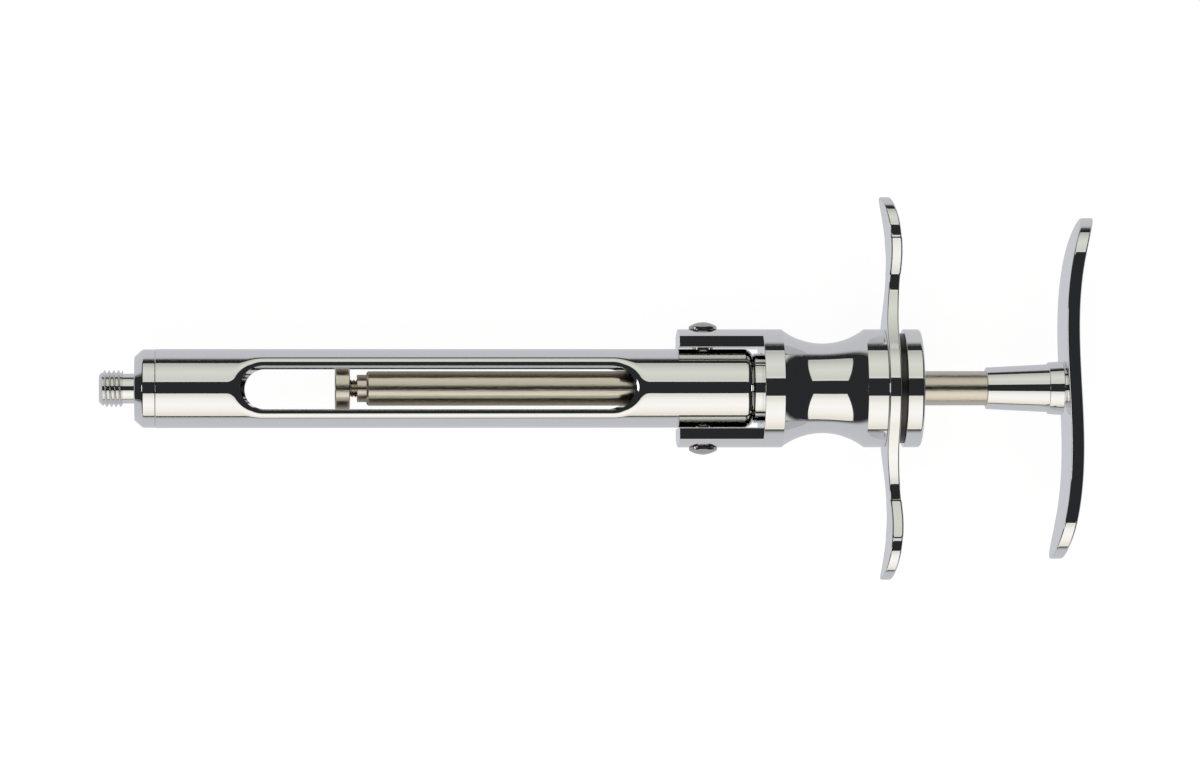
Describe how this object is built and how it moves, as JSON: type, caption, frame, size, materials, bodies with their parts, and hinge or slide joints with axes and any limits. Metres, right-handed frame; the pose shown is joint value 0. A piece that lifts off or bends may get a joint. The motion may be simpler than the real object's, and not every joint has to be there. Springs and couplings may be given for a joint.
{
  "type": "dental aspirating syringe",
  "caption": "Chromed metal cartridge syringe with a threaded nose, windowed barrel in a spring-locked fork, winged finger rest, sliding rod with a disc tip and an oblong thumb rest.",
  "frame": {"origin": "on the axis, at the inner end of the needle thread", "axes": "+X along the axis from the needle end to the thumb rest, +Y along one wing of the finger rest, +Z out of the wide loading window"},
  "size_m": [0.1626, 0.0626, 0.0206],
  "materials": {
    "bright_chrome": "polished chrome plate",
    "satin_steel": "drawn stainless steel, brushed along its length",
    "dull_steel": "turned stainless steel, dull",
    "spring_steel": "drawn spring wire",
    "bush_brass": "turned brass",
    "seal_rubber": "matt black rubber"
  },
  "bodies": {
    "handle": {"needle_adaptor": "bright_chrome", "barrel": "bright_chrome", "hinge_body": "bright_chrome", "pivot_screw_left": "dull_steel", "pivot_screw_right": "dull_steel", "lock_spring": "spring_steel", "guide_bush": "bush_brass", "finger_rest": "bright_chrome", "finger_rest_washer": "dull_steel", "end_nut": "bright_chrome"},
    "sleeve": {"lock_sleeve": "bright_chrome"},
    "seal": {"rod_seal": "seal_rubber"},
    "plunger": {"plunger_rod": "satin_steel", "piston_tip": "satin_steel", "rod_socket": "bright_chrome", "thumb_rest": "bright_chrome"}
  },
  "joints": [
    {"name": "lock_sleeve_slide", "type": "slide", "parent": "handle", "child": "sleeve", "axis": [1, 0, 0], "range_m": [0, 0.004], "stiffness_N_per_m": 400, "springref_m": -0.008, "deforming": ["lock_spring"]},
    {"name": "plunger_turn", "type": "hinge", "parent": "handle", "child": "seal", "pos_m": [0.12, 0, 0], "axis": [1, 0, 0], "continuous": true},
    {"name": "plunger_slide", "type": "slide", "parent": "seal", "child": "plunger", "axis": [1, 0, 0], "range_m": [-0.0108, 0.0638]}
  ]
}
